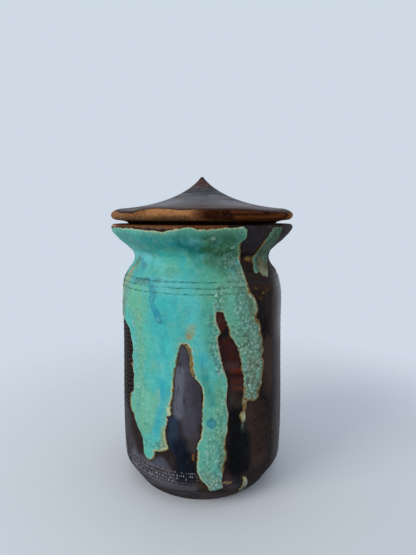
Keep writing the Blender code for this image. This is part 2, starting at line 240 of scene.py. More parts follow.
# Blue marks, where cobalt crept through the glaze, and one dark pit: the tone, half the width in mm, how
# strongly it shows and the line. Blisters burst and healed again, each with its radius in mm. Swells are
# where the glaze stands thick, with their reach and rise in mm.
BLUE_MARKS = [
    ("#3c7482", 1.5, 0.9, [(137, 280.3), (149, 281.2)]),
    ("#3f90a0", 1.0, 0.5, [(152, 280.5), (160, 281)]),
    ("#2f8da0", 1.9, 0.85, [(152, 284), (153.5, 295)]),
    ("#3597a8", 1.2, 0.85, [(151.8, 298), (154.2, 309)]),
    ("#2c8ba2", 1.7, 0.9, [(157, 313), (159.6, 320)]),
    ("#4a8491", 1.6, 0.65, [(143, 261), (145, 267)]),
    ("#1b7c8c", 2.2, 0.95, [(210.8, 422), (211.6, 424)]),
    ("#3a2a20", 0.6, 0.95, [(211, 418.3)]),
]
BLISTERS = [
    ((215.7, 306.4), 1.2), ((237.1, 309.3), 1.6), ((134.3, 323.3), 1.3), ((137, 350), 1.0),
    ((139, 385), 1.1), ((232.5, 246.5), 0.9), ((233, 262), 0.9), ((240.7, 274.3), 1.4),
    ((247, 319), 0.9), ((213, 238), 0.7), ((232, 344), 0.9), ((238, 360), 0.9), ((246, 367), 1.0),
    ((220, 372), 0.8), ((248, 388), 1.0), ((221, 430), 1.2), ((207, 452), 0.8), ((216, 462), 0.8),
    ((223, 402), 0.8), ((222, 290), 0.8),
]
SWELLS = [
    ((150, 454), 3.5, 0.35), ((166, 447), 2.5, 0.2), ((212, 484), 6, 0.30), ((250, 395), 4, 0.25),
    ((211.4, 423), 2.4, 0.25), ((241, 424), 2.2, 0.3), ((262, 272), 4, 0.25), ((243.5, 484), 3, 0.2),
]

ground = to_mark(body, body_section)
run_edge = (
    turned_to(BACK_EDGE, ground)
    + seen_at(LEFT_FINGER + MIDDLE_FINGER + RIGHT_FINGER + TOP_EDGE, ground)
    + turned_to(BACK_TOP, ground)
)
outlines = (run_edge, seen_at(SECOND_PATCH, ground), seen_at(LOW_DRIP, ground))

# At the far side, which starts here, noise makes a ragged edge of the glaze's few points
FAR_SIDE = (-78, -98)
RAGGED_MM = 2.2


def smooth(low, high, value):
    """0 below low, 1 above high, and a soft rise between."""
    share = np.clip((value - low) / (high - low), 0, 1)
    return share * share * (3 - 2 * share)


def band(value, rise, fall):
    """1 between a rise and a fall, each given as where it starts and where it ends."""
    return smooth(*rise, value) * smooth(*fall, value)


def lump(away, half):
    """A soft lump: 1 in its middle, and falling off on both sides over half its width."""
    return np.exp(-(away / half) ** 2)


def clouds(points, size):
    """Soft noise between about -1 and 1 at points in metres, with blots of that size in mm."""
    return np.array([noise.noise(Vector(point) / (size * MM)) for point in points])


def uneven(points):
    """Noise in a coarse and a fine size, for what hand and fire leave uneven."""
    return clouds(points, 6) * 0.6 + clouds(points, 2.2) * 0.4


def line_distance(places, line):
    """Distance in mm from each place to a line of straight stretches, or to one place."""
    best = np.full(len(places), np.inf)
    for start, end in zip(np.array(line), np.array(line[1:] or line)):
        run = end - start
        share = np.clip((places - start) @ run / max(run @ run, 1e-12), 0, 1)
        best = np.minimum(best, np.hypot(*(places - start - share[:, None] * run).T))
    return best


def inside_distance(places, outline):
    """Distance in mm from each place to a closed outline, positive inside it."""
    closed = outline + outline[:1]
    inside = np.zeros(len(places), bool)
    x, y = places.T
    for (ax, ay), (bx, by) in zip(closed[:-1], closed[1:]):
        if ay != by:
            inside ^= ((ay > y) != (by > y)) & (x < ax + (y - ay) * (bx - ax) / (by - ay))
    return np.where(inside, 1, -1) * line_distance(places, closed)


def places_of(shape):
    """Places of a turned piece's vertices."""
    along = shape.verts.layers.float["along"]
    return np.array([(float(way_round(v.co.x, v.co.y)), v[along]) for v in shape.verts])


def measured(places):
    """How far in mm the body's places lie inside the run glaze's edge, and inside the blue marks' edge."""
    edge = np.max([inside_distance(places, outline) for outline in outlines], axis=0)
    flat = np.column_stack([places * MM, np.zeros(len(places))])
    edge += RAGGED_MM * smooth(*FAR_SIDE, places[:, 0]) * (clouds(flat, 9) + 0.4 * clouds(flat, 3))
    blue = [half - line_distance(places, seen_at(line, ground)) for tone, half, share, line in BLUE_MARKS]
    return edge, np.max(blue, axis=0)


# Fine mesh where the surface changes quickly: along the glaze's edge, in the cut lines and round the small
# marks. The grooves are the heights of the cut lines, which are only on the wall's outside.
GROOVES = (128.0, 124.9, 121.8)
FINE_EDGE = 1.0
FINE_GROOVE = 1.1
FINE_BLISTER = 2.4
FINE_BLUE = 0.8
OUTSIDE_FROM = 46

blisters = [(seen_at([pixel], ground), size) for pixel, size in BLISTERS]
places = places_of(body)
edge, blue = measured(places)
fine_mark = blue > -FINE_BLUE
for spot, size in blisters:
    fine_mark |= line_distance(places, spot) < FINE_BLISTER
for number, vertex in enumerate(body.verts):
    height = vertex.co.z / MM
    in_groove = any(abs(height - groove) < FINE_GROOVE for groove in GROOVES)
    outside = math.hypot(vertex.co.x, vertex.co.y) / MM > OUTSIDE_FROM
    vertex.tag = bool(abs(edge[number]) < FINE_EDGE or fine_mark[number] or outside and in_groove)
fine = {side for face in body.faces if any(v.tag for v in face.verts) for side in face.edges}
bmesh.ops.subdivide_edges(body, edges=list(fine), cuts=1, use_grid_fill=True)
places = places_of(body)
edge, blue = measured(places)

# Relief of the body in mm: throwing ridges, the three lines cut round the shoulder, and the run glaze's
# own thickness, which is greatest in the bead along its edge and where a finger ends.
GLAZE_MM = 0.50
GLAZE_STEP = (-0.3, 0.75)
BEAD_MM = 0.24
BEAD_INSIDE, BEAD_HALF = 0.9, 0.6
UNEVEN_MM = 0.10
RIDGE_MM = 0.07
RIDGE_PITCH = 4.6
GROOVE_MM = 0.42
GROOVE_HALF = 0.45
BLISTER_MM = 0.20
BLISTER_RIM_HALF = 0.4
FOOT_FADE, LIP_FADE = (0.5, 3), (155.2, 153.6)

body_mesh = bpy.data.meshes.new("glazed_jar_body")
body.to_mesh(body_mesh)
points = np.array([vertex.co for vertex in body_mesh.vertices])
normals = np.array([normal.vector for normal in body_mesh.vertex_normals])
height = points[:, 2] / MM
outer = (normals[:, :2] * points[:, :2]).sum(1) > 0
wander = uneven(points)
slow = clouds(points, 23)
feather = 0.22 * wander + 0.3 * clouds(points * (1, 1, 0.15), 2.5)

cover = smooth(*GLAZE_STEP, edge)
bead = lump(edge - BEAD_INSIDE, BEAD_HALF)
relief = cover * (GLAZE_MM * (1 + 0.35 * slow) + UNEVEN_MM * wander) + bead * BEAD_MM * (1 + wander)
for pixel, reach, rise in SWELLS:
    relief += cover * rise * lump(line_distance(places, seen_at([pixel], ground)), reach)
for spot, size in blisters:
    away = line_distance(places, spot)
    relief += BLISTER_MM * (lump(away - size, BLISTER_RIM_HALF) - 0.6 * lump(away, size / 1.6))
relief += cover * UNEVEN_MM * smooth(-0.6, 0.5, blue)
relief += RIDGE_MM * np.sin(height / RIDGE_PITCH * math.tau + 2.5 * slow)
for groove in GROOVES:
    relief -= lump(height - groove - 0.25 * slow, GROOVE_HALF) * GROOVE_MM * (1 - 0.45 * cover)
relief *= band(height, FOOT_FADE, LIP_FADE) * outer
body_mesh.vertices.foreach_set("co", (points + normals * relief[:, None] * MM).ravel())

# Colours of the glazes, laid on like brush strokes in the photograph's pixels: the tone, its reach in mm,
# how strongly it covers, and the line that it follows. Each fades out at its edge and lies over the ones
# before it.


def linear(tone):
    """Linear colour of an sRGB hex value."""
    values = [int(tone[i:i + 2], 16) / 255 for i in (1, 3, 5)]
    return np.array([v / 12.92 if v <= 0.04045 else ((v + 0.055) / 1.055) ** 2.4 for v in values])


def laid_over(colours, tone, share):
    """Colours with a tone laid over them, by a share for each."""
    return colours + (linear(tone) - colours) * np.clip(share, 0, 1)[:, None]


def brushed(colours, strokes, find, piece):
    """Colours of the vertices in hand with strokes laid over them, whose lines are found on the piece."""
    for tone, reach, strength, line in strokes:
        away = line_distance(places, find(line, piece)) * (1 + feather)
        colours = laid_over(colours, tone, strength * smooth(reach, reach * 0.3, away))
    return colours


def rubbed(strokes, piece):
    """How strongly a mark shows at the vertices in hand, from strokes of a reach, a strength and a line."""
    shares = [
        strength * smooth(reach, reach * 0.4, line_distance(places, seen_at(line, piece)) * (1 + feather))
        for reach, strength, line in strokes
    ]
    return np.max(shares, axis=0)


RUN_GLAZE = "#4fb0a8"
RUN_SAGE = "#6fb08c"
RUN_BLUE = "#3ba2ac"
# A deeper teal, laid on the flare as painted shade under the lip
RUN_FLARE_SHADE = "#287068"
RUN_STROKES = [
    # On the wall, from the left to the right
    ("#3fb1ae", 15, 0.75, [(158, 300), (165, 335), (163, 375)]),
    ("#56bbb7", 9, 0.75, [(178, 292), (196, 300), (201, 345)]),
    ("#55b5b5", 9, 0.7, [(150, 285), (182, 282)]),
    ("#66b18f", 5, 0.8, [(134, 300), (139, 318), (141, 345), (141, 372), (142, 400), (147, 428)]),
    ("#51b6a4", 5, 0.6, [(148, 330), (150, 360), (150, 385)]),
    ("#52a288", 8, 0.8, [(206, 268), (211, 285), (211, 305), (213, 345)]),
    ("#63ab89", 10, 0.85, [(223, 278), (229, 305), (237, 330), (244, 350)]),
    ("#45886a", 7, 0.85, [(214, 262), (222, 270)]),
    ("#70886a", 6, 0.85, [(240, 272), (244, 284)]),
    ("#64987c", 7, 0.85, [(239, 284), (243, 298), (245, 314)]),
    ("#5b6c46", 4.5, 0.85, [(249, 292), (252, 306), (252, 322)]),
    ("#70926f", 6, 0.8, [(248, 335), (251, 362)]),
    ("#78946f", 6, 0.8, [(251, 365), (251, 385), (247, 398)]),
    ("#4a4a2a", 3.8, 0.9, [(257, 314), (260, 330), (262, 350), (261, 375), (257, 394)]),
    # On the flare, the neck and the shoulder. The deep teal under the flare is partly painted shade beneath
    # the lip
    ("#2f8f8c", 9, 0.85, [(150, 240), (164, 241), (176, 239)]),
    ("#3c8072", 7, 0.8, [(176, 233), (196, 233), (206, 236)]),
    ("#4f928c", 7, 0.85, [(117, 230), (128, 236), (142, 246)]),
    ("#335f42", 8, 0.9, [(212, 238), (224, 240), (240, 243)]),
    ("#3e6650", 5, 0.8, [(216, 231), (228, 231), (243, 230)]),
    ("#3f968c", 5, 0.8, [(150, 248), (163, 250)]),
    ("#116e70", 5, 0.9, [(180, 243), (189, 247), (197, 246)]),
    ("#2f5734", 7, 0.95, [(207, 249), (222, 251), (238, 253)]),
    ("#1c6a58", 4, 0.7, [(192, 251), (200, 251)]),
    ("#6ec2c4", 4.5, 0.8, [(138, 255), (150, 257)]),
    ("#3fb0a4", 7, 0.8, [(164, 256), (182, 258)]),
    ("#388f7c", 5, 0.7, [(194, 256), (198, 262)]),
    ("#3f6e50", 5, 0.7, [(208, 259), (232, 264)]),
    ("#60c2bf", 4.5, 0.7, [(158, 263), (164, 268)]),
    ("#42b0ab", 6, 0.7, [(183, 264), (189, 272)]),
    ("#60ae9a", 5, 0.6, [(172, 266), (172, 274)]),
    ("#4f9a98", 5, 0.7, [(137, 264), (136, 274)]),
    ("#6f9480", 6, 0.8, [(134, 268), (128, 284), (126, 296)]),
    ("#a1936c", 5, 0.75, [(132, 271), (128, 279)]),
    ("#96906a", 3, 0.8, [(125.6, 285), (125, 309)]),
    ("#2f6f68", 3, 0.8, [(141, 258), (137, 263)]),
    ("#5a7c6c", 5, 0.7, [(125, 298), (125, 312)]),
    # The left finger
    ("#47bcb9", 4.5, 0.75, [(170, 345), (170, 368), (166, 385)]),
    ("#38a6b0", 3.4, 0.85, [(163, 384), (162, 402), (159, 420), (156, 434)]),
    ("#6fbca4", 5, 0.75, [(147, 396), (150, 418)]),
    ("#50b8a9", 4, 0.6, [(152, 437), (150, 452)]),
    ("#858a62", 3.4, 0.9, [(165, 430), (164, 447)]),
    ("#b7b48c", 2.2, 0.75, [(156, 451), (166, 449)]),
    ("#d2cba4", 2.0, 0.95, [(169.2, 409), (170.3, 414.5)]),
    # The middle finger
    ("#27897f", 4, 0.85, [(204, 372), (207, 388), (211, 402)]),
    ("#58b8a4", 3.5, 0.6, [(211, 365), (214, 385)]),
    ("#64ae8c", 4, 0.8, [(219, 382), (221, 402), (219, 432)]),
    ("#6bbba2", 4.5, 0.75, [(204, 424), (205, 446)]),
    ("#64b096", 6, 0.7, [(211, 432), (210, 468)]),
    ("#56704a", 3.2, 0.85, [(223, 438), (222, 466)]),
    ("#7c9c86", 5, 0.8, [(204, 475), (216, 479)]),
    ("#8fa893", 3.5, 0.7, [(208, 486), (219, 484)]),
    # The drop that hangs from the right finger
    ("#57502c", 5, 0.95, [(246, 400), (241, 411)]),
    ("#5a4a22", 4, 0.98, [(240.5, 413), (242.5, 421)]),
    ("#a8a078", 1.4, 0.9, [(241.6, 414), (243, 416.5)]),
    ("#6a6244", 1.4, 0.7, [(243, 416), (243.6, 420)]),
    # Above the gap between the left and the middle finger
    ("#8f9a68", 3.2, 0.7, [(191.5, 328), (189.5, 336)]),
    ("#a9824a", 2.2, 0.8, [(188.8, 336.7)]),
    # The second patch
    ("#2f3822", 10, 1.0, [(284, 227), (277, 238), (269, 248), (267, 258), (266, 268)]),
    ("#282f18", 9, 1.0, [(278, 228), (270, 240), (262, 250), (258, 262)]),
    ("#3e5236", 3.5, 0.75, [(277, 230), (269.5, 242), (262, 253)]),
    ("#4a5b42", 4, 0.8, [(254, 262), (257, 270)]),
    ("#6b6040", 5, 0.95, [(260, 263), (264, 266)]),
    ("#8f8260", 5, 0.95, [(262, 271), (266, 274)]),
    # The low drip
    ("#625c4c", 6, 1.0, [(245, 477), (244, 484), (239, 491)]),
    ("#39332a", 4, 0.9, [(242, 488), (239, 491.5)]),
    ("#a9a994", 1.1, 0.8, [(243.6, 478), (245.6, 481), (243.5, 485)]),
]
IRON_GLAZE = "#2b2220"
IRON_STROKES = [
    # Left of the left finger, and under it. The lighter greys low at the left and on the foot's bevel are
    # painted sheen
    ("#2c211f", 8, 0.85, [(128, 325), (129, 345), (129, 395)]),
    ("#423f44", 10, 0.85, [(126, 405), (128, 430), (135, 455)]),
    ("#6a666c", 9, 0.9, [(136, 460), (150, 469), (166, 477)]),
    ("#56535a", 6, 0.8, [(150, 481), (170, 486), (190, 488)]),
    ("#3a3538", 7, 0.8, [(165, 493), (190, 495), (215, 497)]),
    # The gap between the left and the middle finger, with a navy pool below. Its satin grey is partly the
    # glaze's own tone and partly painted sheen, with a painted highlight streak at its left
    ("#4a464e", 9, 0.95, [(186, 352), (185, 385), (186, 415)]),
    ("#3a383e", 5, 0.8, [(197, 385), (198, 418)]),
    ("#70747f", 4.5, 0.55, [(180, 372), (178, 395), (177.5, 414)]),
    ("#4a4852", 6, 0.85, [(190, 415), (190, 432)]),
    ("#433d3e", 5, 0.8, [(195, 438), (194, 448)]),
    ("#27384a", 5.5, 0.8, [(172, 422), (174, 445)]),
    ("#0a1422", 7, 0.97, [(178, 446), (183, 460), (185, 476)]),
    ("#070c14", 5, 0.9, [(188, 458), (192, 472)]),
    ("#50535f", 4.5, 0.8, [(154, 461), (163, 463)]),
    # The neck, the shoulder and the wall at the right
    ("#2b272a", 8, 0.9, [(250, 230), (250, 250)]),
    ("#281408", 5, 0.9, [(246, 257), (250, 268)]),
    ("#2d1e14", 5, 0.9, [(254, 275), (260, 292)]),
    ("#130804", 7, 0.9, [(258, 296), (262, 308), (265, 340)]),
    ("#3c2411", 1.5, 0.6, [(251, 288), (262, 287), (271, 285.5)]),
    ("#2e1a0c", 1.6, 0.6, [(256, 294.5), (268, 293)]),
    ("#7c5a22", 0.6, 0.85, [(255.4, 288), (256.6, 288.6)]),
    ("#86621f", 0.6, 0.85, [(262.6, 292.6), (264, 293)]),
    ("#5e3d16", 0.8, 0.8, [(258.6, 297.6), (261.5, 298.8)]),
    ("#5a3a18", 0.7, 0.7, [(266, 290), (269.4, 289.4)]),
    ("#45352d", 8, 0.85, [(268, 345), (268, 385)]),
    ("#45332c", 12, 0.85, [(254, 412), (260, 434), (258, 452)]),
    # Painted sheen towards the right edge, over the coat's own gloss there
    ("#423b38", 8, 0.8, [(274, 270), (276.5, 300), (276.5, 385), (276, 420), (275, 452)]),
    ("#5a524d", 8, 0.5, [(279.3, 280), (279.5, 350), (279, 400), (278, 450)]),
    # The gap between the middle and the right finger: rusty above, and a black pool below
    ("#45190a", 4, 0.95, [(219, 314), (222, 330)]),
    ("#040201", 3, 0.95, [(220, 340), (228, 330)]),
    ("#3a1208", 6, 0.95, [(226, 344), (232, 358), (237, 378)]),
    ("#2c1816", 3, 0.8, [(222, 346), (226, 372), (229, 388)]),
    # Red-brown bars of painted light on the throwing ridges, with painted shade between them
    ("#47302d", 3, 0.75, [(227, 366), (236, 366)]),
    ("#280a03", 2, 0.8, [(231, 374.5), (242, 374)]),
    ("#5e2410", 2, 0.85, [(233, 370.5), (242, 370.5)]),
    ("#4c2417", 2.4, 0.75, [(232, 382), (242, 381)]),
    ("#5c2c1a", 2, 0.8, [(233, 389), (242, 388)]),
    ("#312722", 5, 0.85, [(231, 395), (236, 404)]),
    ("#040406", 7, 0.97, [(236, 415), (237, 440)]),
    ("#010206", 8, 0.97, [(236, 445), (237, 470)]),
    ("#06080c", 5, 0.9, [(245, 436), (246, 466)]),
    ("#1d2a28", 1.5, 0.9, [(242.4, 422), (243, 431)]),
    ("#8a9484", 0.7, 0.5, [(242.2, 423.5), (242.9, 429)]),
    ("#1c2024", 4, 0.85, [(234, 480), (239, 488)]),
    # Above the foot, then flecks of pale glaze on their own
    ("#3f3030", 5, 0.85, [(226, 480), (232, 490)]),
    ("#4e4029", 3.5, 0.35, [(200, 486), (207, 489)]),
    ("#4c3e3e", 5, 0.8, [(205, 496), (240, 494), (252, 488)]),
    ("#0c0705", 2, 0.9, [(242, 255.5), (253, 255)]),
    ("#8a6526", 1.9, 0.8, [(246, 258.5), (249, 259)]),
    ("#937b55", 0.8, 0.95, [(223.5, 482.6), (230, 482.4)]),
    ("#8a5a2c", 0.9, 0.9, [(194, 454.5), (192.6, 457), (193, 460)]),
    # The rim of the lip, red-brown, with painted light at its left that fades to painted shade at its right
    ("#dcb08a", 3, 0.95, [(117, 224.5), (150, 225)]),
    ("#b48460", 3, 0.95, [(155, 225), (178, 225.5)]),
    ("#7a5032", 3, 0.9, [(190, 226), (215, 226)]),
    ("#64381c", 3, 0.9, [(225, 226), (245, 224.5), (262, 223.5)]),
    ("#3a302e", 3, 0.9, [(270, 226), (290, 226)]),
]
# The far side, as (degrees, height)
BACK_POOLS = [
    ("#0a1320", 8, 0.9, [(-214, 80), (-212, 40), (-210, 24)]),
    ("#3a160a", 6, 0.85, [(-155, 96), (-153, 70)]),
    ("#070a10", 7, 0.9, [(-153, 60), (-155, 26)]),
    ("#46424a", 9, 0.8, [(-108, 90), (-108, 50)]),
    ("#5a3c2a", 2.8, 0.85, [(-262, 155.2), (-200, 155.2), (-140, 155.2), (-100, 155.2)]),
]
# Where the iron glaze pools to a gloss, where bubbles crowd in the run glaze, where its edge is widely
# ochre, and where the bead inside the edge is pale: the reach in mm, the strength and the line
GLOSS_STROKES = [
    (9, 0.5, [(238, 412), (238, 488)]), (8, 0.6, [(172, 424), (183, 455), (190, 472)]),
    (6, 0.7, [(220, 316), (230, 345), (236, 385)]), (7, 0.6, [(248, 262), (256, 290), (264, 310)]),
    (8, 0.8, [(182, 352), (178, 410)]), (8, 0.4, [(126, 330), (126, 450)]),
]
PEBBLE_STROKES = [
    (13, 1.0, [(244, 335), (250, 362), (252, 392)]), (13, 0.45, [(232, 268), (243, 290), (247, 325)]),
    (5, 0.7, [(222, 292), (216, 318), (217, 345), (221, 370)]), (5, 0.45, [(223, 395), (222, 430)]),
    (9, 0.45, [(218, 440), (211, 482)]), (5, 0.95, [(208, 487), (220, 485)]),
    (4, 0.7, [(158, 446), (165, 449)]), (7, 0.22, [(137, 318), (141, 350), (142, 400), (148, 440)]),
    (6, 0.2, [(131, 285), (128, 300)]),
]
OCHRE_STROKES = [
    (8, 1.0, [(248, 278), (254, 296), (259, 312), (263, 345), (264, 365), (261, 390), (250, 402)]),
    (4, 1.5, [(188.5, 347), (190.5, 356), (191, 372)]), (3, 0.25, [(176, 357), (172, 400)]),
    (4, 0.5, [(240, 245), (241, 262)]), (5, 0.35, [(244, 398), (240, 416)]),
    (9, 0.45, [(254, 362), (254, 380), (249, 395)]), (3, 0.9, [(133, 361), (132.5, 372)]),
    (3, 0.9, [(131, 391), (131, 405), (135, 415)]), (6, 0.8, [(124, 285), (124, 312)]),
    (3, 0.5, [(225, 440), (224, 470)]), (3, 0.4, [(151, 460), (167, 451)]),
    (4, 0.6, [(262, 244), (252, 260)]),
]
PALE_STROKES = [
    (4, 1.0, [(174, 385), (171, 412), (166, 432), (167, 450), (154, 453)]),
    (4, 1.0, [(217, 318), (219, 345), (227, 392)]),
    (4, 1.0, [(183, 344), (195, 350), (200, 385), (203, 400)]),
    (4, 0.8, [(202, 430), (197, 450), (197, 475), (208, 489)]),
    (3, 0.9, [(133, 340), (134, 356), (134.5, 388)]), (3, 1.0, [(239, 412), (244, 418)]),
    (4, 0.8, [(228, 395), (227, 430)]), (3, 0.3, [(243, 478), (243, 489)]),
    (5, 0.6, [(241, 258), (247, 285), (256, 305)]),
    (2.2, 1.0, [(120, 228.5), (137, 230.5), (162, 232.4), (178, 229.6)]),
    (2.2, 0.9, [(184, 228.4), (196, 230.2), (216, 229.7), (240, 227.8)]),
]


def keep_colours(mesh, name, colours):
    """Stores a colour for each vertex under a name that a material can read."""
    layer = mesh.attributes.new(name, "FLOAT_COLOR", "POINT")
    values = np.column_stack([colours, np.ones(len(colours))]).astype(np.float32)
    layer.data.foreach_set("color", values.ravel())


def keep_values(mesh, **values):
    """Stores a number for each vertex under each name, for a material to read."""
    for name, numbers in values.items():
        mesh.attributes.new(name, "FLOAT", "POINT").data.foreach_set("value", numbers.astype(np.float32))


# The run glaze is sage in broad clouds, blue in streaks drawn out downwards, and a deeper teal on the
# flare, which is painted shade under the lip. It is greener near its edge too, but not in the second patch
# or the
# low drip. These bands are in mm: up from the foot, in from the edge or round from the front.
STREAK_MM, STREAK_DRAWN = 5, (1, 1, 0.2)
FLARE_SHADE_UP = (138, 149)
SAGE_IN, SAGE_ROUND, SAGE_UP = (4.5, 1.0), (50, 30), (14, 24)

streaks = clouds(points * STREAK_DRAWN, STREAK_MM)
way = places[:, 0]
run_colour = np.tile(linear(RUN_GLAZE), (len(places), 1))
run_colour = laid_over(run_colour, RUN_SAGE, smooth(0.0, 0.5, slow) * 0.8)
run_colour = laid_over(run_colour, RUN_BLUE, smooth(0.05, 0.5, streaks) * 0.6)
flare_shade = smooth(*FLARE_SHADE_UP, height) * 0.7 * smooth(-0.5, 0.3, slow)
run_colour = laid_over(run_colour, RUN_FLARE_SHADE, flare_shade)
run_colour = brushed(run_colour, RUN_STROKES, seen_at, ground)
sage_edge = 0.3 * smooth(*SAGE_IN, edge) * smooth(*SAGE_ROUND, way) * smooth(*SAGE_UP, height)
run_colour = laid_over(run_colour, RUN_SAGE, sage_edge)
for tone, half, share, line in BLUE_MARKS:
    away = line_distance(places, seen_at(line, ground)) * (1 + 0.15 * wander)
    run_colour = laid_over(run_colour, tone, share * smooth(-0.6, 0.6, half - away))
# Each blister gets a painted highlight on its rim and painted shade in its hollow middle
for spot, size in blisters:
    away = line_distance(places, spot)
    run_colour = laid_over(run_colour, "#b9dfcd", 0.6 * lump(away - size, BLISTER_RIM_HALF))
    run_colour = laid_over(run_colour, "#2f5f4d", 0.6 * lump(away, size / 1.8))
iron_colour = np.tile(linear(IRON_GLAZE), (len(places), 1))
iron_colour = brushed(iron_colour, BACK_POOLS, turned_to, ground)
iron_colour = brushed(iron_colour, IRON_STROKES, seen_at, ground)
keep_colours(body_mesh, "run_colour", run_colour)
keep_colours(body_mesh, "iron_colour", iron_colour)

# Comb strokes cover the wall but for its front, where the glaze filled them. At the right, on both sides of
# the seam, a wet gloss fills them too. These bands are in mm, round from the front or up from the foot.
COMBED_RIGHT, COMBED_LEFT, COMBED_FAR_LEFT = (24, 36), (-36, -42), (-60, -70)
COMB_START, COMB_END, COMB_START_LEFT = (23, 30), (121, 117), (44, 52)
FAINT_START, FAINT_END, FAINT_ROUND, FAINT_UP = (-30, 0), (108, 82), (40, 48), (62, 76)
WET_START, WET_END, WET_UP, WET_TOP = (45, 60), (112, 78), (84, 100), (133, 122)
ACROSS_SEAM = -200
OCHRE_END, PALE_END, FAR_PEBBLES = (153.5, 150), (30, 36), (-80, -100)

combed_left = np.maximum(smooth(*COMB_START_LEFT, height), smooth(*COMBED_FAR_LEFT, way))
combing = np.maximum(smooth(*COMBED_RIGHT, way), smooth(*COMBED_LEFT, way) * combed_left)
combing *= band(height, COMB_START, COMB_END)
past_seam = np.where(way < ACROSS_SEAM, way + math.tau * ROUND_MM, way)
faint = np.maximum(0.8 * smooth(*FAINT_ROUND, past_seam), 0.6 * smooth(*FAINT_UP, height))
combing *= 1 - band(past_seam, FAINT_START, FAINT_END) * faint
wet = band(past_seam, WET_START, WET_END) * smooth(*WET_TOP, height)
wet *= 0.2 + 0.33 * smooth(*WET_UP, height)
ochre = (0.28 + 1.5 * rubbed(OCHRE_STROKES, ground)) * smooth(*OCHRE_END, height)
pale = (0.3 + 0.7 * rubbed(PALE_STROKES, ground)) * (1 - 0.7 * smooth(*PALE_END, way))
far_pebbles = 0.4 * smooth(0.1, 0.5, slow) * smooth(*FAR_PEBBLES, way)
pebbles = np.maximum(rubbed(PEBBLE_STROKES, ground), far_pebbles)

# A toothed wheel pressed rows of small beads above the foot, and the glaze filled them at the front right.
ROWS_LOW, ROWS_HIGH = 13.8, 22.6
ROWS_LEFT, ROWS_RIGHT = (2, -8), (62, 72)
ROWS_CLEAR_START, ROWS_CLEAR_END = (-90, -70), (60, 40)
rows = np.maximum(smooth(*ROWS_LEFT, way), smooth(*ROWS_RIGHT, way))
rows *= band(height, (ROWS_LOW, ROWS_LOW + 1), (ROWS_HIGH, ROWS_HIGH - 1))
# Away from the front the rows are fainter, and so are their painted highlights and shade
rows *= 0.55 + 0.45 * band(way, ROWS_CLEAR_START, ROWS_CLEAR_END)
keep_values(
    body_mesh, run_edge=edge, blue=blue, gloss=rubbed(GLOSS_STROKES, ground), ochre=ochre, pale=pale,
    pebbles=pebbles, combing=combing, wet=wet, rows=rows,
)


def unwrap(mesh):
    """A UV map in mm over the way round and the section in hand, for patterns that follow the clay."""
    corners = np.empty(len(mesh.loops), int)
    mesh.loops.foreach_get("vertex_index", corners)
    totals = np.empty(len(mesh.polygons), int)
    mesh.polygons.foreach_get("loop_total", totals)
    face = np.repeat(np.arange(len(totals)), totals)
    whole = math.tau * ROUND_MM
    across, along = places[corners].T
    widest = np.maximum.reduceat(across, np.concatenate([[0], np.cumsum(totals)[:-1]]))[face]
    across = np.where(widest - across > whole / 2, across + whole, across)
    uv = mesh.uv_layers.new(name="round_and_along")
    uv.data.foreach_set("uv", np.column_stack([across, along]).astype(np.float32).ravel())


unwrap(body_mesh)

# Material of the body: stoneware under two fired glazes. The iron glaze is thin and satin, so the combed
# clay shows through it, and it pools to a navy gloss. The run glaze is glassy: it bubbles where it is
# thick, and breaks to ochre at its edge.

# The comb strokes climb by COMB_CLIMB mm for each mm round the jar, and by STEEP_CLIMB_MM more in the
# steep stretch at the right, so that 33 of them close round it
COMB_MM = 2.38
COMB_CLIMB = 0.2
STEEP_ROUND, STEEP_CLIMB_MM = (20, 50), 15.8
AROUND_GROOVES = 4.2
PINHOLES_MM = 6
BUBBLE_MM = 2.3
SMALL_BUBBLE_MM = 1.15
ROW_MM = 2.0
ROW_BEAD_MM = 1.25


def shade(tone):
    """A node's colour from an sRGB hex value."""
    return (*linear(tone), 1)


def add(kind, inputs=None, output=0, **settings):
    """Adds a node to the tree in hand. Its inputs, by name or number, are values or outputs of nodes."""
    node = tree.nodes.new("ShaderNode" + kind)
    for name, value in settings.items():
        setattr(node, name, value)
    for name, value in (inputs or {}).items():
        if isinstance(value, bpy.types.NodeSocket):
            tree.links.new(value, node.inputs[name])
        else:
            node.inputs[name].default_value = value
    return node.outputs[output]


def new_material(name):
    """A material with its node tree and its shader."""
    material = bpy.data.materials.new(name)
    material.use_nodes = True
    return material, material.node_tree, material.node_tree.nodes["Principled BSDF"]


def patches(where, size, between, values, detail=2.0):
    """Patches of a size in mm. They go from one value to the other between two levels of their noise."""
    cloud = add("TexNoise", {"Vector": where, "Scale": 1 / size, "Detail": detail})
    return add("MapRange", {0: cloud, 1: between[0], 2: between[1], 3: values[0], 4: values[1]})


def blotched(colour, where, blots, within=1.0):
    """A colour with soft blots laid over it: the tone of each, its size in mm, how rare and how strong."""
    for tone, size, rare, strong in blots:
        most = add("Math", {0: within, 1: strong}, operation="MULTIPLY")
        share = patches(where, size, (rare, rare + 0.2), (0.0, most), 3.0)
        colour = add("Mix", {0: share, 6: colour, 7: shade(tone)}, 2, data_type="RGBA")
    return colour


glaze, tree, shader = new_material("run_turquoise_over_iron_glaze")
edge, blue, gloss, pebbles, combing, ochre, pale, rows, wet = (
    add("Attribute", output=2, attribute_name=name)
    for name in ("run_edge", "blue", "gloss", "pebbles", "combing", "ochre", "pale", "rows", "wet")
)
run, iron = (add("Attribute", attribute_name=name) for name in ("run_colour", "iron_colour"))

# Where the patterns lie, in mm, so that a pattern's scale is 1 over its real size. Some are drawn out,
# downwards or round the jar, and some follow the clay.
place = add("TexCoord", output=3)
place = add("Mapping", {"Vector": place, "Scale": (1 / MM, 1 / MM, 1 / MM)})
drawn_out = add("Mapping", {"Vector": place, "Scale": (1, 1, 0.22)})
banded = add("Mapping", {"Vector": place, "Scale": (0.08, 0.08, 1)})
on_clay = add("UVMap", uv_map="round_and_along")
across = add("SeparateXYZ", {0: on_clay}, 0)
along = add("SeparateXYZ", {0: on_clay}, 1)
level = add("SeparateXYZ", {0: place}, 2)

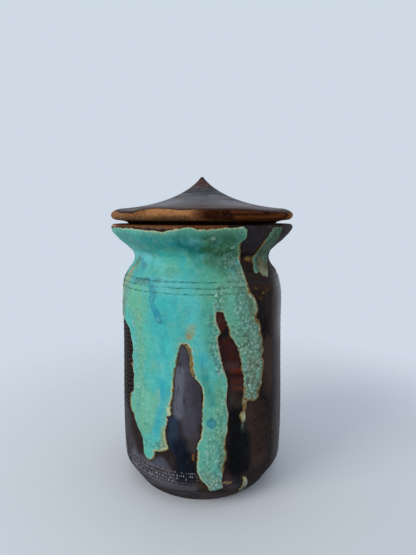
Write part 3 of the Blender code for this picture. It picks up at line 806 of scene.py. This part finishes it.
# Clouds, streaks, flecks and pinholes in the run glaze
run = blotched(run, place, [
    ("#93d8cb", 6, 0.53, 0.22), ("#2a7c78", 4, 0.53, 0.28), ("#7ea678", 11, 0.54, 0.35),
    ("#9ad4c0", 1.6, 0.56, 0.20), ("#2f7a6c", 1.2, 0.54, 0.34), ("#1d4c40", 0.7, 0.59, 0.6),
])
run = blotched(run, drawn_out, [
    ("#3aa3ad", 2.0, 0.54, 0.15), ("#7fba94", 2.6, 0.55, 0.30), ("#a9a878", 2.2, 0.62, 0.4),
])
pinhole = add("TexVoronoi", {"Vector": place, "Scale": 1 / PINHOLES_MM})
pinhole = add("MapRange", {0: pinhole, 1: 0.04, 2: 0.07, 3: 0.85, 4: 0.0})
run = add("Mix", {0: pinhole, 6: run, 7: shade("#33281a")}, 2, data_type="RGBA")
broken = patches(place, 3.5, (0.38, 0.56), (0.2, 1.0))
rim = add("Math", {0: blue}, operation="ABSOLUTE")
rim = add("MapRange", {0: rim, 1: 0.1, 2: 0.7, 3: 0.45, 4: 0.0})
rim = add("Math", {0: rim, 1: broken}, operation="MULTIPLY")
run = add("Mix", {0: rim, 6: run, 7: shade("#1c6577")}, 2, data_type="RGBA")

# Cut lines: the glaze lies dark and broken in the three grooves and pale and speckled between them
sunk = add("TexNoise", {"Vector": place, "Scale": 1 / 5})
sunk = add("Math", {0: level, 1: sunk}, operation="ADD")
sunk = add("Math", {0: sunk, 1: -GROOVES[2] - 0.5}, operation="ADD")
sunk = add("Math", {0: sunk, 1: (GROOVES[0] - GROOVES[1]) / 2}, operation="PINGPONG")
around_grooves = add("Math", {0: level, 1: GROOVES[1], 2: AROUND_GROOVES}, operation="COMPARE")
between = add("MapRange", {0: sunk, 1: 0.7, 2: 1.3})
between = add("Math", {0: between, 1: around_grooves}, operation="MULTIPLY")
run = blotched(run, place, [("#9ec29a", 1.3, 0.50, 0.5), ("#8f8a50", 0.9, 0.58, 0.6)], between)
dash = patches(place, 3.2, (0.40, 0.60), (0.15, 1.0), 4.0)
sunk = add("MapRange", {0: sunk, 1: 0.05, 2: 0.62, 3: 0.95, 4: 0.0})
sunk = add("Math", {0: sunk, 1: around_grooves}, operation="MULTIPLY")
sunk = add("Math", {0: sunk, 1: dash}, operation="MULTIPLY")
run = add("Mix", {0: sunk, 6: run, 7: shade("#2c6c5c")}, 2, data_type="RGBA")

# Bubbles froze as round lumps, crowded where the glaze is thickest. Each has a dark crease of painted
# shade, green, and ochre near the edge where the glaze's ochre fills it; a painted highlight on its top;
# and, on some, a painted glint.
patchy = patches(place, 5, (0.35, 0.6), (0.5, 1.0))
crowd = add("Math", {0: pebbles, 1: patchy}, operation="MULTIPLY")
run = blotched(run, place, [
    ("#9cc4a4", 2.6, 0.50, 0.4), ("#86703c", 1.8, 0.56, 0.7), ("#42573a", 1.5, 0.54, 0.6),
], crowd)
grimy = add("MapRange", {0: ochre, 1: 0.4, 2: 1.1})
crease_shade_and_ochre = add("Mix", {0: grimy, 6: shade("#22503d"), 7: shade("#463515")}, 2, data_type="RGBA")
pushed = add("TexNoise", {"Vector": on_clay, "Scale": 1 / 1.6, "Detail": 1.0}, 1)
pushed = add("VectorMath", {0: pushed, 1: (2.8, 2.8, 0), 2: on_clay}, operation="MULTIPLY_ADD")
bubble = add("TexVoronoi", {"Vector": pushed, "Scale": 1 / BUBBLE_MM}, voronoi_dimensions="2D")
small = add("TexVoronoi", {"Vector": pushed, "Scale": 1 / SMALL_BUBBLE_MM}, voronoi_dimensions="2D")
for size, crease, top, glint in ((bubble, 0.8, 0.5, 1.0), (small, 0.45, 0.2, 0.6)):
    rare = add("MapRange", {0: size.node.outputs["Color"], 1: 0.52, 2: 0.62})
    for tone, near, far, least, most, often in (
        (crease_shade_and_ochre, 0.40, 0.60, 0.0, crease, 1.0), (shade("#a9d2b6"), 0.05, 0.36, top, 0.0, 1.0),
        (shade("#e4f3ea"), 0.07, 0.19, glint, 0.0, rare),
    ):
        share = add("MapRange", {0: size, 1: near, 2: far, 3: least, 4: most})
        share = add("Math", {0: share, 1: crowd}, operation="MULTIPLY")
        share = add("Math", {0: share, 1: often}, operation="MULTIPLY")
        run = add("Mix", {0: share, 6: run, 7: tone}, 2, data_type="RGBA")

# The run glaze is thin and ochre at its edge, and just inside it stands a pale bead that comes and goes
ragged = patches(place, 2.2, (0.25, 0.75), (-0.42, 0.42), 3.0)
ragged = add("Math", {0: ragged, 1: edge}, operation="ADD")
under_run = add("MapRange", {0: ragged, 1: -0.06, 2: 0.10})
ochre_wide = add("MapRange", {0: broken, 1: 0.2, 2: 1.0, 3: 1.2, 4: 0.65})
ochre_wide = add("Math", {0: ochre_wide, 1: ochre}, operation="MULTIPLY")
inner = add("Math", {0: ragged, 1: ochre_wide}, operation="SUBTRACT")
cream = add("MapRange", {0: inner, 1: 0.35, 2: 1.2, 3: 0.85, 4: 0.0})
cream = add("Math", {0: cream, 1: pale}, operation="MULTIPLY")
crumbly = patches(place, 1.4, (0.42, 0.56), (0.35, 1.0))
cream = add("Math", {0: cream, 1: crumbly}, operation="MULTIPLY")
run = add("Mix", {0: cream, 6: run, 7: shade("#c3bf96")}, 2, data_type="RGBA")
ochre_tone = add("Mix", {0: crumbly, 6: shade("#2c1a08"), 7: shade("#86642a")}, 2, data_type="RGBA")
inner = add("MapRange", {0: inner, 1: -0.1, 2: 0.35, 3: 0.9, 4: 0.0})
run = add("Mix", {0: inner, 6: run, 7: ochre_tone}, 2, data_type="RGBA")

# Iron glaze: mottled and streaked downwards, with dark comb strokes that rise to the right
dull = add("MapRange", {0: gloss, 2: 0.4, 3: 1.0, 4: 0.2})
iron = blotched(iron, place, [
    ("#5a4a44", 2.2, 0.53, 0.22), ("#0d0808", 5, 0.53, 0.30), ("#2e1d18", 8, 0.53, 0.15),
], dull)
iron = blotched(iron, drawn_out, [("#68666e", 1.5, 0.57, 0.16), ("#0e0909", 2.0, 0.55, 0.25)], dull)
iron = blotched(iron, drawn_out, [("#0a0e18", 1.8, 0.50, 0.8), ("#46505f", 1.1, 0.60, 0.5)], gloss)
sway = patches(place, 8, (0.2, 0.8), (-2.5, 2.5), 1.0)
steep = add("MapRange", {0: across, 1: STEEP_ROUND[0], 2: STEEP_ROUND[1], 4: STEEP_CLIMB_MM})
turn = add("Math", {0: across, 1: COMB_CLIMB, 2: steep}, operation="MULTIPLY_ADD")
turn = add("Math", {0: turn, 1: along}, operation="SUBTRACT")
comb = add("Math", {0: turn, 1: math.tau / COMB_MM, 2: sway}, operation="MULTIPLY_ADD")
comb = add("Math", {0: comb}, operation="SINE")
nicked = add("TexNoise", {"Vector": place, "Scale": 1 / 1.8, "Detail": 2.0})
comb = add("Math", {0: nicked, 1: 2.6, 2: comb}, operation="MULTIPLY_ADD")
comb = add("MapRange", {0: comb, 1: 1.0, 2: 1.9})
comb = add("Math", {0: comb, 1: combing}, operation="MULTIPLY")
comb_share = add("MapRange", {0: broken, 1: 0.2, 2: 1.0, 3: 0.7, 4: 1.0})
comb_share = add("Math", {0: comb, 1: comb_share}, operation="MULTIPLY")
iron = add("Mix", {0: comb_share, 6: iron, 7: shade("#090404")}, 2, data_type="RGBA")

# Turning lines on the foot's bevel, and the rows of beads above it, with painted shade in their hollows and
# painted highlights on some of them
on_foot = add("MapRange", {0: level, 1: ROWS_LOW + 0.5, 2: ROWS_LOW - 1.5})
iron = blotched(iron, banded, [("#77727a", 1.0, 0.52, 0.35), ("#140d0c", 1.2, 0.54, 0.55)], on_foot)
pressed = add("Mapping", {"Vector": on_clay, "Scale": (1 / ROW_BEAD_MM, 1 / ROW_MM, 1)})
pressed = add("TexVoronoi", {"Vector": pressed, "Scale": 1.0, "Randomness": 0.4}, voronoi_dimensions="2D")
own = add("MapRange", {0: pressed.node.outputs["Color"], 1: 0.50, 2: 0.64, 4: 0.8})
pressed = add("MapRange", {0: pressed, 1: 0.12, 2: 0.42, 3: 1.0, 4: 0.0})
bead_hollow_shade = add("MapRange", {0: pressed, 1: 0.5, 2: 0.0, 4: 0.65})
bead_hollow_shade = add("Math", {0: bead_hollow_shade, 1: rows}, operation="MULTIPLY")
iron = add("Mix", {0: bead_hollow_shade, 6: iron, 7: shade("#140c0a")}, 2, data_type="RGBA")
pressed = add("Math", {0: pressed, 1: rows}, operation="MULTIPLY")
bead_highlight = add("Math", {0: pressed, 1: own}, operation="MULTIPLY")
bead_highlight = add("Math", {0: bead_highlight, 1: broken}, operation="MULTIPLY")
iron = add("Mix", {0: bead_highlight, 6: iron, 7: shade("#a8a6b0")}, 2, data_type="RGBA")
dark = add("MapRange", {0: edge, 1: -0.9, 2: -0.2, 4: 0.8})
dark = add("Math", {0: dark, 1: broken}, operation="MULTIPLY")
iron = add("Mix", {0: dark, 6: iron, 7: shade("#170c08")}, 2, data_type="RGBA")

colour = add("Mix", {0: under_run, 6: iron, 7: run}, 2, data_type="RGBA")
tree.links.new(colour, shader.inputs["Base Color"])
shader.inputs["Roughness"].default_value = 0.6
shader.inputs["Specular IOR Level"].default_value = 0.0

# All the gloss is the glassy coat over the colour: strong on the bubbles, faint on the satin iron glaze
# but for its pools, its beads and the wet band at the right
glassy = add("MapRange", {0: crowd, 3: 0.15, 4: 0.9})
thin = add("Math", {0: gloss, 1: 0.14, 2: 0.08}, operation="MULTIPLY_ADD")
thin = add("Math", {0: thin, 1: wet}, operation="ADD")
thin = add("Math", {0: pressed, 1: 0.6, 2: thin}, operation="MULTIPLY_ADD")
coat = add("Mix", {0: under_run, 2: thin, 3: glassy})
tree.links.new(coat, shader.inputs["Coat Weight"])
shader.inputs["Coat Roughness"].default_value = 0.16

# Fine relief in mm: bubbles and ripples of the run glaze, the combing, the beads and the grit of the clay,
# which is finer than this in such clay and is drawn coarser so that it shows
ripple = add("TexNoise", {"Vector": place, "Scale": 1 / 2.5, "Detail": 3.0})
run_relief = add("Math", {0: ripple, 1: 0.21}, operation="MULTIPLY")
for size, rise in ((bubble, 0.60), (small, 0.24)):
    dome = add("MapRange", {0: size, 2: 0.55, 3: rise, 4: 0.0}, interpolation_type="SMOOTHSTEP")
    run_relief = add("Math", {0: dome, 1: crowd, 2: run_relief}, operation="MULTIPLY_ADD")
grit = add("TexNoise", {"Vector": place, "Scale": 1 / 0.8, "Detail": 3.0})
iron_relief = add("Math", {0: grit, 1: 0.08}, operation="MULTIPLY")
iron_relief = add("Math", {0: comb, 1: -0.2, 2: iron_relief}, operation="MULTIPLY_ADD")
iron_relief = add("Math", {0: pressed, 1: 0.3, 2: iron_relief}, operation="MULTIPLY_ADD")
relief_mix = add("Mix", {0: under_run, 2: iron_relief, 3: run_relief})
bump = add("Bump", {"Strength": 1.0, "Distance": MM, "Height": relief_mix})
tree.links.new(bump, shader.inputs["Normal"])
tree.links.new(bump, shader.inputs["Coat Normal"])


def finished(name, mesh, material):
    """A smooth piece in its material, with its object at the origin."""
    mesh.materials.append(material)
    mesh.polygons.foreach_set("use_smooth", np.ones(len(mesh.polygons), bool))
    piece = bpy.data.objects.new(name, mesh)
    bpy.context.scene.collection.objects.link(piece)
    return piece


jar_body = finished("glazed_jar_body", body_mesh, glaze)
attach(jar_body, "jar")
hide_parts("jar_body")

# Lid: stoneware, thrown and trimmed, with a flange that drops into the mouth and a tip drawn up to a point.
# Its top has the iron glaze. The glaze was wiped off its round edge, which shows the sandy clay. Its sizes
# are in mm, as the body's are.
LID_TIP = [(0, 186.15), (0.6, 186.05)]
LID_SWEEP = ((50.0, 166.7), (21.0, 168.9), (6.0, 178.9), (1.0, 185.7))
LID_RIM = [(51.1, 166.4), (52.4, 166.0), (53.6, 165.3), (54.7, 164.4), (55.3, 163.2), (55.04, 161.9),
           (54.04, 160.8), (52.7, 160.2), (50, 159.9), (48.3, 159.65), (47, 159.25)]
FLANGE = [(45.9, 158.9), (45.0, 158.0), (44.6, 154), (43.9, 150.1), (42.1, 148.3), (41.1, 147.2),
          (40.0, 146.9), (39.2, 147.2), (38.6, 147.9), (38.55, 153), (38.5, 159.0), (37.6, 161.4),
          (36.0, 162.6)]
LID_INSIDE = ((34.6, 163.1), (23.3, 166.0), (10.4, 171.6), (0, 173.7))
LID_ROWS, LID_INSIDE_ROWS, LID_STEPS = 60, 10, 288

lid_section = LID_TIP + curved(LID_SWEEP[::-1], LID_ROWS) + LID_RIM + FLANGE
lid_section = [tuple(point) for point in lid_section + curved(LID_INSIDE, LID_INSIDE_ROWS)]
lid_shape = turned(lid_section, LID_STEPS)
lid_ground = to_mark(lid_shape, lid_section)
lid_mesh = bpy.data.meshes.new("glazed_lid")
lid_shape.to_mesh(lid_mesh)
places = places_of(lid_shape)
points = np.array([vertex.co for vertex in lid_mesh.vertices])
wander = uneven(points)
feather = 0.3 * wander
unwrap(lid_mesh)

# Rings that the wheel left on its top, as (mm from the tip along its section, tone), then strokes as on
# the body. The clay's line is where the bare clay starts, round the front.
LID_BANDS = [
    (0, "#1c0d0a"), (2, "#43241a"), (6, "#4a2f28"), (9, "#463735"), (12, "#3c3a3c"), (16, "#383b3f"),
    (19, "#3d4044"), (22, "#525052"), (25, "#625f62"), (28, "#5a5658"), (33, "#625f63"), (41, "#5c5657"),
    (47, "#504443"), (60, "#54403a"),
]
LID_STROKES = [
    # The first two are painted sheen on the lid's top, at its left and its right
    ("#8a8a8e", 14, 0.42, [(128, 206.5), (148, 205), (170, 203)]),
    ("#88868a", 14, 0.38, [(230, 203), (246, 205), (262, 207.5)]),
    ("#544a4c", 6, 0.8, [(119, 209), (130, 211), (142, 208)]),
    ("#4a4040", 4, 0.6, [(196, 207.5), (216, 208.5), (240, 209)]),
    ("#6fae9c", 1.3, 0.9, [(254, 204.5)]),
    ("#6fae9c", 1.3, 0.9, [(264.5, 206.5)]),
    ("#6fae9c", 1.3, 0.9, [(277, 208.5)]),
]
BARE_CLAY, FAR_CLAY = "#7c5130", "#3f2010"
FAR_CLAY_START, FAR_CLAY_END = (-236, -210), (-70, -90)
CLAY_STROKES = [
    ("#aa744a", 4, 0.9, [(150, 211.5), (168, 211), (188, 211)]),
    ("#8c6646", 4, 0.8, [(114, 213), (120, 215)]),
    ("#6a4f38", 2.6, 0.8, [(120, 219), (150, 219.5)]),
    ("#574128", 2.6, 0.85, [(155, 219), (186, 219)]),
    ("#673d27", 5, 0.8, [(198, 213), (204, 216)]),
    ("#280d06", 8, 0.97, [(212, 214), (240, 215), (262, 215), (285, 214)]),
    ("#190a06", 2.2, 0.85, [(224, 213.0), (245, 213.8), (268, 214.0)]),
    ("#6a3516", 1.6, 0.8, [(236, 217.8), (262, 217.5), (284, 215.2)]),
    ("#5e3018", 1.5, 0.8, [(232, 211.5), (246, 211.8), (262, 212.4)]),
    # A painted shadow on the lid's underside, in the gap over the lip
    ("#150a06", 4, 0.9, [(128, 222), (165, 222.5), (262, 222.5), (280, 221)]),
]
CLAY_LINE = [
    (113, 209), (116, 210), (120, 213), (132, 213.6), (138, 211), (146, 209.2), (158, 208.4),
    (170, 209.3), (182, 210.2), (196, 209.6), (234, 209.6), (261, 211.6), (280, 213), (291, 213),
]
down, tones = zip(*LID_BANDS)
tones = np.array([linear(tone) for tone in tones])
from_tip = places[:, 1] + 1.5 * wander
lid_colour = np.column_stack([np.interp(from_tip, down, tones[:, part]) for part in range(3)])
keep_colours(lid_mesh, "lid_colour", brushed(lid_colour, LID_STROKES, seen_at, lid_ground))
clay_colour = np.tile(linear(BARE_CLAY), (len(places), 1))
far_side = band(places[:, 0], FAR_CLAY_START, FAR_CLAY_END)
clay_colour = laid_over(clay_colour, FAR_CLAY, smooth(-0.1, 0.4, clouds(points, 30)) * far_side)
keep_colours(lid_mesh, "clay_colour", brushed(clay_colour, CLAY_STROKES, seen_at, lid_ground))
line_round, line_along = np.array(seen_at(CLAY_LINE, lid_ground)).T
line_here = np.interp(places[:, 0], line_round, line_along, period=math.tau * ROUND_MM)
keep_values(lid_mesh, clay_edge=places[:, 1] - line_here)

# Material of the lid: satin iron glaze, streaked round by the wheel, with a dark edge to bare stoneware,
# which is matt and sandy. The grit is drawn coarser than such sand is, so that it shows.
lid_glaze, tree, shader = new_material("iron_glaze_and_bare_clay")
edge = add("Attribute", output=2, attribute_name="clay_edge")
top = add("Attribute", attribute_name="lid_colour")
clay = add("Attribute", attribute_name="clay_colour")
place = add("TexCoord", output=3)
place = add("Mapping", {"Vector": place, "Scale": (1 / MM, 1 / MM, 1 / MM)})
on_clay = add("UVMap", uv_map="round_and_along")
banded = add("Mapping", {"Vector": on_clay, "Scale": (0.03, 0.8, 1)})
ragged = patches(place, 2.6, (0.25, 0.75), (-0.5, 0.5), 3.0)
ragged = add("Math", {0: edge, 1: ragged}, operation="ADD")
bare = add("MapRange", {0: ragged, 1: -0.1, 2: 0.15})
top = blotched(top, banded, [
    ("#97938f", 2.2, 0.53, 0.40), ("#1d1718", 2.8, 0.52, 0.55), ("#6b463c", 4.0, 0.54, 0.35),
    ("#a39f9c", 1.2, 0.57, 0.40),
])
top = blotched(top, place, [("#2d2523", 6, 0.54, 0.25), ("#8b8482", 1.1, 0.58, 0.25)])
line = add("MapRange", {0: ragged, 1: -2.3, 2: -1.0, 4: 0.95})
top = add("Mix", {0: line, 6: top, 7: shade("#29110b")}, 2, data_type="RGBA")
sandy = add("MapRange", {0: clay, 1: 0.03, 2: 0.12, 3: 0.15, 4: 1.0})
clay = blotched(clay, place, [("#4a2c16", 3.0, 0.53, 0.35), ("#2a160c", 1.0, 0.52, 0.7)])
clay = blotched(clay, place, [("#d0a06a", 0.9, 0.55, 0.6)], sandy)
tree.links.new(add("Mix", {0: bare, 6: top, 7: clay}, 2, data_type="RGBA"), shader.inputs["Base Color"])
shader.inputs["Roughness"].default_value = 0.8
shader.inputs["Specular IOR Level"].default_value = 0.0
satin = add("Math", {0: bare, 1: -0.2, 2: 0.22}, operation="MULTIPLY_ADD")
tree.links.new(satin, shader.inputs["Coat Weight"])
shader.inputs["Coat Roughness"].default_value = 0.3
grit = add("TexNoise", {"Vector": place, "Scale": 1 / 0.6, "Detail": 3.0})
grit = add("Math", {0: grit, 1: bare}, operation="MULTIPLY")
turning = add("TexNoise", {"Vector": banded, "Scale": 1.0, "Detail": 2.0})
turning = add("Math", {0: turning, 1: 0.25}, operation="MULTIPLY")
lid_relief = add("Math", {0: grit, 1: 0.22, 2: turning}, operation="MULTIPLY_ADD")
bump = add("Bump", {"Strength": 1.0, "Distance": MM, "Height": lid_relief})
tree.links.new(bump, shader.inputs["Normal"])
lid = finished("glazed_lid", lid_mesh, lid_glaze)
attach(lid, "lid")
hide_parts("lid")

# Floor: a plain pale table top that keeps the jar's soft shadow. Away from the jar it fades into the pale
# room, between these distances in metres.
FLOOR_SIZE = 4.0
FLOOR_FADE = (0.14, 0.34)
floor_mesh = bpy.data.meshes.new("table_top")
flat = bmesh.new()
bmesh.ops.create_grid(flat, x_segments=1, y_segments=1, size=FLOOR_SIZE / 2)
flat.to_mesh(floor_mesh)
paint, tree, shader = new_material("matt_pale_paint")
shader.inputs["Base Color"].default_value = shade("#d9dbde")
shader.inputs["Roughness"].default_value = 0.6
place = add("TexCoord", output=3)
away = add("VectorMath", {0: place}, 1, operation="LENGTH")
fade = add("MapRange", {0: away, 1: FLOOR_FADE[0], 2: FLOOR_FADE[1]}, interpolation_type="SMOOTHSTEP")
faded = add("MixShader", {0: fade, 1: shader.outputs[0], 2: add("BsdfTransparent")})
tree.links.new(faded, tree.nodes["Material Output"].inputs["Surface"])
finished("table_top", floor_mesh, paint)

# Light: one soft window at the left, and a pale room all round. The window's size and places are in metres.
world = bpy.data.worlds.new("pale_room")
bpy.context.scene.world = world
world.use_nodes = True
room = world.node_tree.nodes["Background"]
room.inputs["Color"].default_value = shade("#d0dae6")
room.inputs["Strength"].default_value = 1.0

WINDOW_PLACE = Vector((-0.95, -0.62, 0.78))
WINDOW_SIZE = 0.6
WINDOW_WATTS = 7.0
JAR_MIDDLE = Vector((0, 0, 0.09))
window = bpy.data.lights.new("window", "AREA")
window.size = WINDOW_SIZE
window.energy = WINDOW_WATTS
window.color = (1.0, 0.96, 0.90)
lamp = bpy.data.objects.new("window", window)
lamp.location = WINDOW_PLACE
lamp.rotation_euler = (WINDOW_PLACE - JAR_MIDDLE).to_track_quat("Z", "Y").to_euler()
bpy.context.scene.collection.objects.link(lamp)
bpy.context.scene.view_settings.view_transform = "Standard"
